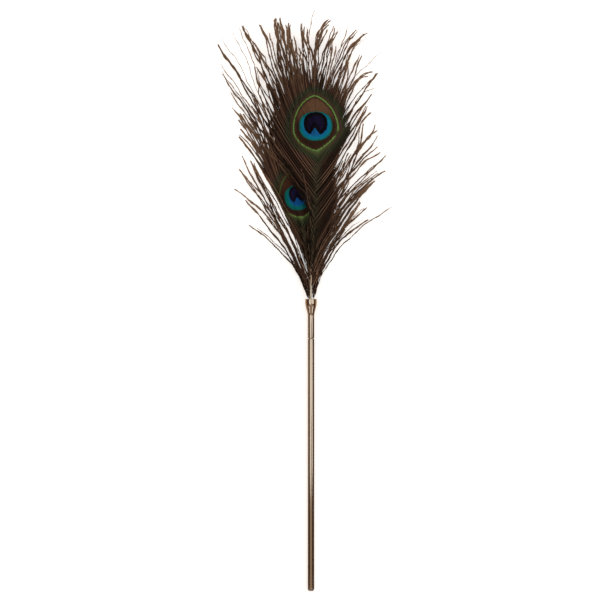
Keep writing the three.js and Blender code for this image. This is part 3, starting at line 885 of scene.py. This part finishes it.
def lay_barbs(barbs, strand, side, shaft_x, web, draw):
    """The middle line of every barb, how far it hooks on, and where its strand leaves the web."""
    root, end_x, end_y, begin, out = barbs[:, :5].T[:, :, None]
    count = len(barbs)
    share = np.linspace(0, 1, RINGS)[None, :] ** 1.05
    beside = lerp(draw.uniform(*NECK, (count, 1)), -ROOT_OVERLAP, smoothstep(root, *NECK_STATIONS))
    start_x = shaft_x(np.maximum(root, 0)) + side * beside

    # The tress.
    own = curve(start_x, root, end_x, end_y, begin, out, share)
    mean = of_strand(strand, np.concatenate([start_x, barbs[:, :5]], 1)).T[:, :, None]
    joined = smoothstep(share, *JOINS_TRESS)
    tress = [lerp(alone, merged, joined) for alone, merged in zip(own, curve(*mean, share))]

    # The even fan. At the crown the barbs turn to the feather's tip.
    fan = fanned(barbs[:, 0], barbs[:, 1:5])
    crown = smoothstep(barbs[:, 0], web["crown"] - CROWN_FROM, web["crown"])[:, None]
    crown_tips = np.tile(web["crown_tip"], (count, 1))
    crown_tips[:, 0] += side * CROWN_FAN * np.clip((web["crown"] - barbs[:, 0]) / CROWN_REACH, 0, 1)
    fan = lerp(fan, crown_tips, crown)
    even = curve(start_x, root, *fan.T[:, :, None], share)

    # The strand's middle.
    mean = of_strand(strand, np.concatenate([start_x, root, fan], 1)).T[:, :, None]
    bundle = curve(*mean, share)

    varies = draw.uniform(-EDGE_VARIES, EDGE_VARIES, (strand.max() + 1, 1))[strand]
    caught = looseness(web, *even, CAUGHT[0] + varies, CAUGHT[1] + varies)
    hooked = smoothstep(root, web["from"][side] - HOOKS_WITHIN, web["from"][side] + HOOKS_WITHIN)
    gather = np.maximum(looseness(web, *even, *GATHERED), smoothstep(share, *GATHERS_AT_TIP))
    gather = np.maximum(np.maximum.accumulate(gather, axis=1), 1 - hooked)
    x, y = [lerp(lerp(a, b, caught), c, gather) for a, b, c in zip(even, bundle, tress)]
    return x, y, share, hooked, varies


# %% Waves in the loose strands
FREE = (0.8, 1.25)
WAVE = (0.45, 0.85)
WAVE_LENGTH = (24, 50)
OVERTONE = 2.65
OVERTONE_DEPTH = 0.25
RIPPLE = (1, 1.8)
RIPPLE_DEPTH = 0.12
RIPPLE_LENGTH = (6, 12)
STILL_TIP = 10
STRAND_PITCH = 0.13
CROWN_STATIONS = (150, 200)


def wave_strands(x, y, strand, side, loose, draw):
    """Let each loose strand wave in its own way, more in the crown, and lay its barbs side by side."""
    each_barb, each_strand = (len(strand), 1), (strand.max() + 1, 1)
    steps = np.hypot(np.diff(x, axis=1), np.diff(y, axis=1))
    length = np.concatenate([np.zeros(each_barb), np.cumsum(steps, axis=1)], axis=1)
    to_tip = length[:, -1:] - length
    dx, dy = np.gradient(x, axis=1), np.gradient(y, axis=1)
    step = np.maximum(np.hypot(dx, dy), 1e-6)
    normal_x, normal_y = dy / step, -dx / step
    phase = draw.uniform(0, 2 * np.pi, (*each_strand, 2))[strand]
    wave_length = draw.uniform(*WAVE_LENGTH, each_strand)[strand]
    turns = 2 * np.pi * length / wave_length
    wave = np.sin(turns + phase[:, :, 0]) + OVERTONE_DEPTH * np.sin(OVERTONE * turns + phase[:, :, 1])
    ripple = RIPPLE_DEPTH * np.sin(
        2 * np.pi * length / draw.uniform(*RIPPLE_LENGTH, each_barb) + draw.uniform(0, 6, each_barb)
    )
    in_crown = smoothstep(y, *CROWN_STATIONS)
    sway = lerp(*WAVE, in_crown) * wave * np.minimum(1, to_tip / STILL_TIP)
    sway = sway + lerp(*RIPPLE, in_crown) * ripple
    sway = loose * (sway - side * STRAND_PITCH * place_in_strand(strand))
    return x + normal_x * sway, y + normal_y * sway, normal_x, normal_y, length, to_tip


# %% [markdown]
# ## From paths to blades
# In the web a barb is a broad, flat blade that overlaps the next one like a shingle. Where it is free it
# is narrower and thicker, it twists, and its edge is frayed. Every few barbs one lies on top of its
# neighbours, a little narrower and painted bright, a painted highlight; the barbs between these crests are
# painted dark, a painted shade in the valleys. Together they draw the fine chevrons of the vane. Near the
# ferrule the barbs lie over the shaft and hide it.
#
# Each blade is a run of four-cornered sections: outer edge, top, inner edge and underside. Faces and
# attributes are written as whole arrays, because a loop over every corner would take minutes.

# %% A mesh of swept blades
FLAT_MARGIN = 0.02


def swept_mesh(name, points, count, fields):
    """One mesh of `count` blades, each of RINGS four-cornered sections. Fields have a value per section."""
    ring = np.arange(RINGS - 1)[:, None] * 4
    corner = np.arange(4)[None, :]
    following = (corner + 1) % 4
    sides = [ring + corner, ring + following, ring + 4 + following, ring + 4 + corner]
    quads = np.stack(sides, 2).reshape(-1, 4)
    last = (RINGS - 1) * 4
    quads = np.concatenate([quads, [[3, 2, 1, 0]], [[last, last + 1, last + 2, last + 3]]])[:, ::-1]
    faces = (np.arange(count)[:, None, None] * RINGS * 4 + quads[None]).reshape(-1, 4)
    mesh = bpy.data.meshes.new(name)
    mesh.from_pydata(points, [], faces)
    for field, values in fields.items():
        attribute = mesh.attributes.new(field, "FLOAT", "POINT")
        attribute.data.foreach_set("value", np.repeat(values.reshape(-1), 4).astype(np.float32))
    edge = mesh.attributes.new("edge", "FLOAT", "POINT")
    edge.data.foreach_set("value", np.tile([1.0, 0.0, -1.0, 0.0], count * RINGS).astype(np.float32))

    # A map that lays the whole vane flat, for whoever bakes its colours.
    corners = np.empty(len(mesh.loops), np.int32)
    mesh.loops.foreach_get("vertex_index", corners)
    plan = points[:, :2]
    low, high = plan.min(0), plan.max(0)
    plan = FLAT_MARGIN + (1 - 2 * FLAT_MARGIN) * (plan - low) / (high - low)
    baked = mesh.uv_layers.new(name="OFBake")
    baked.data.foreach_set("uv", plan[corners].astype(np.float32).reshape(-1))
    mesh.shade_smooth()
    mesh.validate()
    piece = bpy.data.objects.new(name, mesh)
    bpy.context.scene.collection.objects.link(piece)
    print(name, count, "barbs,", 2 * len(faces), "triangles")
    return piece


# %% Sizes of a blade
# Lengths are in millimetres. Pairs are the two ends of a range or of a blend.
WEB_HALF_WIDTH = 0.5
LOOSE_HALF_WIDTH = 0.32
WEB_HALF_THICKNESS = 0.07
LOOSE_HALF_THICKNESS = 0.15
SHINGLE_ROLL = math.radians(10)
FREE_ROLL = 0.5
TWIST_PITCH = 7.0
TWIST_VARIES = (0.8, 1.25)
TAPER = 9.0
TAPER_POWER = 0.8
TIP_WIDTH = 0.4
TIP_THICKNESS = 0.5
FRAY = 0.4
PALE_THINNER = 0.7
CREST_BARBS = (3, 5)
# Crest and valley values: a painted highlight on the crests and painted shade on the barbs between them.
CREST_PAINTED_HIGHLIGHT = (0.38, 1)
VALLEY_PAINTED_SHADE = (0, 0.45)
CREST_FROM = 0.4
CREST_NARROWER = 0.25
CREST_LIFT = 0.3
LOOSE_CREST = 0.3
TRESS_SHADE = 0.6
LAYERS = 3
LAYER_LIFT = 0.05
STRAND_LIFT = (-0.1, 0.5)
VANE_OUTSIDE_OVAL = (1.15, 1.7)
ROOT_LIFT = 1.1
ROOT_LIFT_ENDS = (2.0, 9.0)
OVER_SHAFT_STATIONS = (22, 34)
OVER_SHAFT_SHARE = 0.4
OVER_SHAFT_FADES = (0.58, 0.72)
SLENDER_ROOT = (0, 3)
SLENDER_NECK = (4, 26)
SLENDER = 0.7
TABLE_CLEARANCE = 0.02
PATTERN_SHIFT = 0.25
DARK_NECK = (18, 70)
SHAFT_READ_TO = 160
NO_GLEAM_ABOVE = 118


# %% Sweep one side of a vane
def vane(name, rows, side, shaft_x, height, eye, web, material, node, seed):
    draw = np.random.default_rng(seed)
    barbs, strand = spread_barbs(rows, shaft_x, side, draw)
    count = len(barbs)
    each_barb, each_strand = (count, 1), (strand.max() + 1, 1)
    root, rise, pale = barbs[:, [0, 5, 6]].T[:, :, None]
    x, y, share, hooked, varies = lay_barbs(barbs, strand, side, shaft_x, web, draw)
    outside = looseness(web, x, y, FREE[0] + varies, FREE[1] + varies)
    loose = np.maximum(outside, 1 - hooked)
    pale_zone = outside * smoothstep(y, *DARK_NECK)
    x, y, normal_x, normal_y, length, to_tip = wave_strands(x, y, strand, side, loose, draw)

    # Crests and valleys, with a painted highlight on the crests and painted shade in the valleys, and where
    # each point lies in the eye's pattern.
    fray = 1 + loose * draw.uniform(-FRAY, FRAY, (count, RINGS))
    crest = np.isin(np.arange(count), np.cumsum(draw.integers(*CREST_BARBS, count)))[:, None]
    crest = np.where(crest, draw.uniform(*CREST_PAINTED_HIGHLIGHT, each_barb), draw.uniform(*VALLEY_PAINTED_SHADE, each_barb))
    shift = draw.uniform(-PATTERN_SHIFT, PATTERN_SHIFT, each_barb)
    oval, ring_mm, heart, v, line, glow = eye_fields(eye, x, y, shift)
    in_vane = smoothstep(oval, *VANE_OUTSIDE_OVAL)

    # Width, thickness and roll.
    taper = np.clip(to_tip / TAPER, 0, 1) ** TAPER_POWER
    thin = lerp(1.0, PALE_THINNER, np.clip(pale - 0.5, 0, 1) * 2)
    in_web = WEB_HALF_WIDTH * (1 - CREST_NARROWER * in_vane * (crest > CREST_FROM))
    half_width = lerp(in_web, LOOSE_HALF_WIDTH, loose) * fray * thin * lerp(TIP_WIDTH, 1, taper)
    half_width = half_width * lerp(SLENDER, 1, smoothstep(length, *SLENDER_ROOT))
    half_width = half_width * lerp(SLENDER, 1, smoothstep(y, *SLENDER_NECK))
    half_thick = lerp(WEB_HALF_THICKNESS, LOOSE_HALF_THICKNESS, loose) * lerp(TIP_THICKNESS, 1, taper)
    twist = 2 * np.pi * length / TWIST_PITCH * draw.uniform(*TWIST_VARIES, each_barb)
    twist = twist + draw.uniform(0, 6, each_barb)
    roll = side * SHINGLE_ROLL * (1 - loose) + loose * FREE_ROLL * np.sin(twist / 2)

    # Height: layers that keep neighbours apart, crests, free strands, and roots that cross the shaft.
    layer = np.argsort(np.argsort(root[:, 0]))[:, None] % LAYERS
    lift = LAYER_LIFT * layer + CREST_LIFT * crest * in_vane * lerp(LOOSE_CREST, 1, hooked)
    lift = lift + loose * draw.uniform(*STRAND_LIFT, each_strand)[strand]
    chosen = draw.uniform(0, 1, each_barb) < OVER_SHAFT_SHARE
    over_shaft = np.maximum(smoothstep(root, *OVER_SHAFT_STATIONS), chosen)
    over_shaft = over_shaft * (1 - smoothstep(root / web["crown"], *OVER_SHAFT_FADES))
    lift = lift + ROOT_LIFT * (1 - smoothstep(length, *ROOT_LIFT_ENDS)) * over_shaft
    z = height(x, y) + rise * share**3 + lift

    # Four corners round each centre.
    flat = np.zeros_like(roll)
    across = np.stack([np.cos(roll) * half_width, flat, -np.cos(roll) * half_width, flat], 2)
    up = np.stack([np.sin(roll) * half_width, half_thick, -np.sin(roll) * half_width, -half_thick], 2)
    corner_x = x[:, :, None] + normal_x[:, :, None] * across
    corner_y = y[:, :, None] + normal_y[:, :, None] * across
    corner_z = np.maximum(z[:, :, None] + up, TABLE_CLEARANCE)
    points = np.stack([corner_x + mouth_x, corner_y + mouth_y, corner_z], 3).reshape(-1, 3) * MM

    own_shade = draw.uniform(0, 1, each_barb)
    free_shade = lerp(own_shade, draw.uniform(0, 1, each_strand)[strand], TRESS_SHADE)
    # In the web a barb's value is its painted crest highlight or valley shade; where loose, a random tone
    # mostly shared by its strand.
    shade = lerp(crest, free_shade, pale_zone)
    from_shaft = np.abs(x - shaft_x(np.minimum(y, SHAFT_READ_TO))) + np.maximum(y - NO_GLEAM_ABOVE, 0)
    fields = {
        "oval": oval, "ring": ring_mm, "heart": heart, "eye_height": v, "shade": shade, "loose": pale_zone,
        "share": np.repeat(share, count, 0), "pale": np.repeat(pale, RINGS, 1), "from_shaft": from_shaft,
        "station": y, "line": line, "glow": glow,
    }
    dress(swept_mesh(name, points, count, fields), material, node)


# %% [markdown]
# ## The barbs' finish
# Barbs are keratin with dark pigment. The eye's greens and blues come from layers inside the barbules and
# keep their colour in soft light, so they are painted as base colours, and a weak sheen stands for the
# barbules' nap. The gloss is low: a vane is a brush of tiny blades. The brown of the vane varies at random
# from barb to barb, with a painted highlight on the crests and painted shade in the valleys. It is darker
# towards each barb's edges, partly for the darker barbules at its sides and partly as painted shade in the
# gaps between barbs, and it pales at the worn tips.
# The finish is built up as a painter would: the brown first, then each colour over it where its mask is
# white.

# %% Colours along the fields, each as (value of the field, colour)
GREEN_STEPS = [
    (0.00, "#543D2E"), (0.91, "#4A3426"), (0.95, "#33281C"), (0.968, "#54783C"), (1.0, "#8CBB63"),
    (1.03, "#6E9450"), (1.065, "#4A4A31"), (1.16, "#4E4030"), (1.30, "#484132"), (1.45, "#3A4430"),
    (1.65, "#333D2D"), (1.95, "#41382D"), (2.4, "#463226"),
]
LINE_BETWEEN = (0.95, 1.1)
OVAL_LIMIT = 2.5
RING_STEPS = [
    (-4.6, "#1763A0"), (-3.4, "#0F77AE"), (-1.8, "#0A86A4"), (-0.7, "#0A7A80"), (-0.15, "#1D5C54"),
]
BACK_RING_STEPS = [
    (-4.7, "#1258A0"), (-4.0, "#105F98"), (-3.3, "#0A6E82"), (-1.2, "#0A706C"), (-0.12, "#0B5C58"),
]
HEART_STEPS = [(-6.0, "#1A1636"), (-3.4, "#16122E"), (-2.0, "#0C0812"), (0.0, "#070406")]
BACK_HEART_STEPS = [(-6.0, "#221D48"), (-3.0, "#1F1A42"), (-1.4, "#151024"), (0.0, "#0C0810")]
VANE_STEPS = [(0.0, "#110B08"), (0.3, "#261A13"), (0.65, "#513A2D"), (1.0, "#8C6C57")]
FREE_STEPS = [(0.0, "#36271F"), (0.5, "#553F32"), (1.0, "#7C6351")]

# %% Masks of the finish: the field that each one reads, two values of it, and the mask's value at each
MASKS = {
    "brighter_neck": ("station", 14, 34, 2.1, 0.95),
    "near_shaft": ("from_shaft", 1, 6, 0.7, 0),
    "above_neck": ("station", 12, 50, 0, 1),
    "worn_tip": ("share", 0.7, 1, 0, 0.55),
    "outside_line": ("oval", 1.1, 1.4, 0, 1),
    "barb_tone_and_painted_light": ("shade", 0, 1, 0.45, 1.35),
    "halo": ("oval", 1.4, 2.1, 1, 0),
    "above_ring": ("eye_height", 2, 13, 0, 1),
    "inside_oval": ("oval", 0.90, 0.80, 0, 1),
    "in_ring": ("ring", 0.15, -0.15, 0, 1),
    "in_heart": ("heart", 0.15, -0.15, 0, 1),
    "in_vane": ("oval", 0.9, 1.6, 0.16, 0.8),
    "closed": ("loose", 0, 1, 1, 0.4),
}
TIMES = {"operation": "MULTIPLY"}


def coloured_steps(tree, value, steps, low=0, high=1):
    """A colour ramp over a field's own units, from `low` to `high`."""
    share = add(tree, "ShaderNodeMapRange", Value=value, From_Min=low, From_Max=high)
    ramp_node = add(tree, "ShaderNodeValToRGB", Fac=share)
    ramp = ramp_node.color_ramp
    places = [(at - low) / (high - low) for at, _ in steps]
    ramp.elements[0].position = places[0]
    ramp.elements[1].position = places[-1]
    for at in places[1:-1]:
        ramp.elements.new(at)
    for element, (_, colour) in zip(ramp.elements, steps):
        element.color = linear(colour)
    return ramp_node


# %% Keratin of the barbs
def barb_keratin(name, ring_steps, heart_steps, inside_top, inside_side):
    material, tree = new_finish(name)
    keys = dict.fromkeys(["edge", "loose", "pale", "line", "glow", *(of for of, *_ in MASKS.values())])
    field = {key: add(tree, "ShaderNodeAttribute", {"attribute_name": key}).outputs["Fac"] for key in keys}
    mask = {}
    for key, (of, low, high, at_low, at_high) in MASKS.items():
        mask[key] = add(tree, "ShaderNodeMapRange", Value=field[of],
                        From_Min=low, From_Max=high, To_Min=at_low, To_Max=at_high)

    # The vane's brown, from barb to barb: a random tone, or in the web a painted highlight on the crests and
    # painted shade in the valleys. The lowest barbs are made brighter.
    vane_tint = coloured_steps(tree, field["shade"], VANE_STEPS)
    free_tint = coloured_steps(tree, field["shade"], FREE_STEPS)
    brown = add(tree, "ShaderNodeMix", RGBA, Factor=field["loose"], _6=vane_tint, _7=free_tint)
    brown = add(tree, "ShaderNodeMix", RGBA_MULTIPLY, Factor=1.0, _6=brown, _7=mask["brighter_neck"])

    gleam = add(tree, "ShaderNodeMath", TIMES, _0=mask["near_shaft"], _1=mask["above_neck"])
    gleam = add(tree, "ShaderNodeMath", TIMES, _0=gleam, _1=field["shade"])
    pale = add(tree, "ShaderNodeMath", {"operation": "MULTIPLY_ADD", "use_clamp": True},
               _0=field["pale"], _1=0.45, _2=mask["worn_tip"])
    pale = add(tree, "ShaderNodeMath", TIMES, _0=pale, _1=field["loose"])

    # The oval with its green line, which has a gap at one side, and the halo, which varies from barb to
    # barb with the random tone and with the painted crest highlight and valley shade.
    low, high = LINE_BETWEEN
    without_line = [step for step in GREEN_STEPS if not low < step[0] < high]
    with_line, gap = [
        coloured_steps(tree, field["oval"], steps, 0, OVAL_LIMIT) for steps in (GREEN_STEPS, without_line)
    ]
    halo = add(tree, "ShaderNodeMix", RGBA, Factor=field["line"], _6=gap, _7=with_line)
    halo = add(tree, "ShaderNodeMix", RGBA_MULTIPLY, Factor=mask["outside_line"],
               _6=halo, _7=mask["barb_tone_and_painted_light"])
    glow = add(tree, "ShaderNodeMath", TIMES, _0=field["glow"], _1=0.85)
    bronze_web = add(tree, "ShaderNodeMix", RGBA, Factor=mask["above_ring"],
                     _6=linear(inside_side), _7=linear(inside_top))
    ring = coloured_steps(tree, field["ring"], ring_steps, -5.0, 0.0)
    heart = coloured_steps(tree, field["heart"], heart_steps, -6.0, 0.0)

    # Painted shade in the gaps between barbs, together with the darker barbules at each barb's sides.
    off_middle = add(tree, "ShaderNodeMath", {"operation": "ABSOLUTE"}, _0=field["edge"])
    edge = add(tree, "ShaderNodeMath", TIMES, _0=off_middle, _1=mask["in_vane"])
    edge = add(tree, "ShaderNodeMath", TIMES, _0=edge, _1=mask["closed"])

    layers = [
        (gleam, linear("#525A42")),  # dark green on the barbs nearest the shaft
        (pale, linear("#A98A6B")),  # worn tips and stray barbs
        (mask["halo"], halo),
        (glow, linear("#66894A")),  # under the eye the green line spreads down the barbs
        (mask["inside_oval"], bronze_web),  # bronze, lighter above the ring
        (mask["in_ring"], ring),
        (mask["in_heart"], heart),
        # painted shade between barbs, with the darker barbules at each barb's sides
        (edge, linear("#0C0806")),  # each barb's edges, except in the eye, where the barbs lie close
    ]
    colour = brown
    for where, over in layers:
        colour = add(tree, "ShaderNodeMix", RGBA, Factor=where, _6=colour, _7=over)
    fill(tree.nodes["Principled BSDF"], Base_Color=colour, Roughness=0.5, Specular_IOR_Level=0.04,
         Sheen_Weight=0.01, Sheen_Roughness=0.4)
    return material


# %% Make both feathers
front_keratin = barb_keratin("front_barb_keratin", RING_STEPS, HEART_STEPS, "#6A4F3A", "#35241A")
back_keratin = barb_keratin("back_barb_keratin", BACK_RING_STEPS, BACK_HEART_STEPS, "#4A2E22", "#35221A")
FEATHERS = {
    "front": (
        front_shaft_x, front_height, front_keratin,
        {"left": (FRONT_LEFT, 104), "right": (FRONT_RIGHT, 64)},
    ),
    "back": (
        back_shaft_x, back_height, back_keratin,
        {"left": (BACK_LEFT, 88), "right": (BACK_RIGHT, 66)},
    ),
}
for feather, (shaft_x, height, finish, sides) in FEATHERS.items():
    for side, (rows, seed) in sides.items():
        vane(f"{feather}_barbs_{side}", rows, 1 if side == "right" else -1, shaft_x, height,
             EYES[feather], WEB[feather], finish, f"feather_{feather}", seed)
